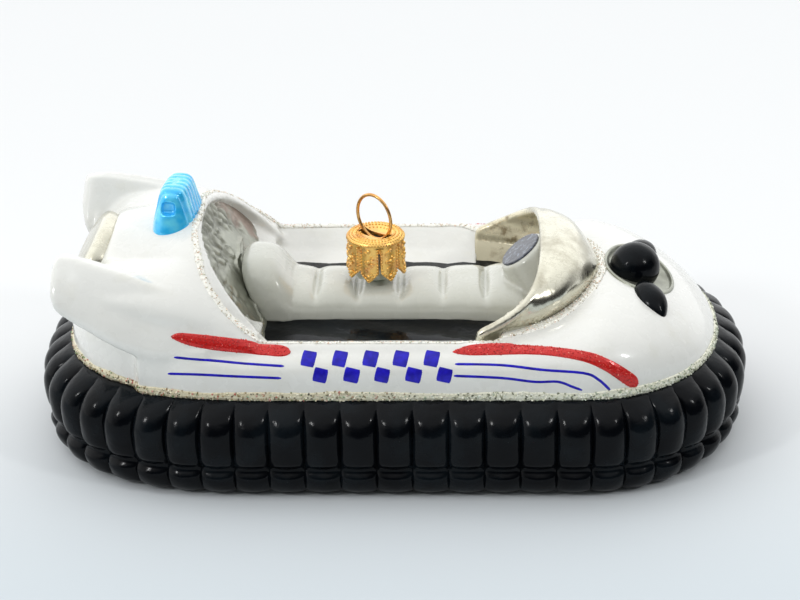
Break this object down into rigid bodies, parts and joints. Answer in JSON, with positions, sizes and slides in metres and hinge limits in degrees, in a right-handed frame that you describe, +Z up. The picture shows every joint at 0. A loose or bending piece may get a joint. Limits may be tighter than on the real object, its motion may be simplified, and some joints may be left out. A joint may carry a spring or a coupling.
{
  "type": "hovercraft tree ornament",
  "caption": "Blown-glass tree ornament shaped as a small patrol hovercraft: lobed black skirt, white hull, silver windscreen cowl, blue beacon, gold cap and wire loop.",
  "frame": {"origin": "under the middle of the skirt, on the plane that the ornament stands on", "axes": "+X towards the bow, +Y to port, +Z up"},
  "size_m": [0.1269, 0.0692, 0.0457],
  "materials": {
    "black_lacquer": "gloss black lacquer on blown glass",
    "white_lacquer": "gloss pearl-white lacquer on blown glass",
    "silvered_glass": "clear glass silvered inside, a little tarnished",
    "blue_lacquer": "translucent gloss blue lacquer",
    "neck_glass": "clear blown glass, silvered inside",
    "gold_cap": "embossed gold-coloured cap",
    "copper_wire": "drawn copper-gold wire"
  },
  "bodies": {
    "ornament": {"skirt": "black_lacquer", "bow_hull": "white_lacquer", "starboard_side": "white_lacquer", "port_side": "white_lacquer", "stern_hull": "white_lacquer", "cockpit_floor": "black_lacquer", "seat": "white_lacquer", "seat_back": "white_lacquer", "console": "white_lacquer", "console_dial": "black_lacquer", "windscreen": "silvered_glass", "engine_housing": "white_lacquer", "fan_bulkhead": "silvered_glass", "fan_outlet": "silvered_glass", "starboard_pod": "white_lacquer", "port_pod": "white_lacquer", "beacon_base": "blue_lacquer", "beacon_lamp": "blue_lacquer", "search_lamp": "black_lacquer", "starboard_lamp": "black_lacquer", "port_lamp": "black_lacquer", "lamp_bezel": "silvered_glass", "cap_neck": "neck_glass"},
    "cap": {"hanger_cap": "gold_cap"},
    "loop": {"hanger_ring": "copper_wire"}
  },
  "joints": [
    {"name": "cap_pull", "type": "slide", "parent": "ornament", "child": "cap", "axis": [0, 0, 1], "range_m": [0, 0.012]},
    {"name": "ring_tilt", "type": "hinge", "parent": "cap", "child": "loop", "pos_m": [-0.00305, 0, 0.0352], "axis": [0.8387, -0.5446, 0], "range_deg": [-35, 35]}
  ]
}
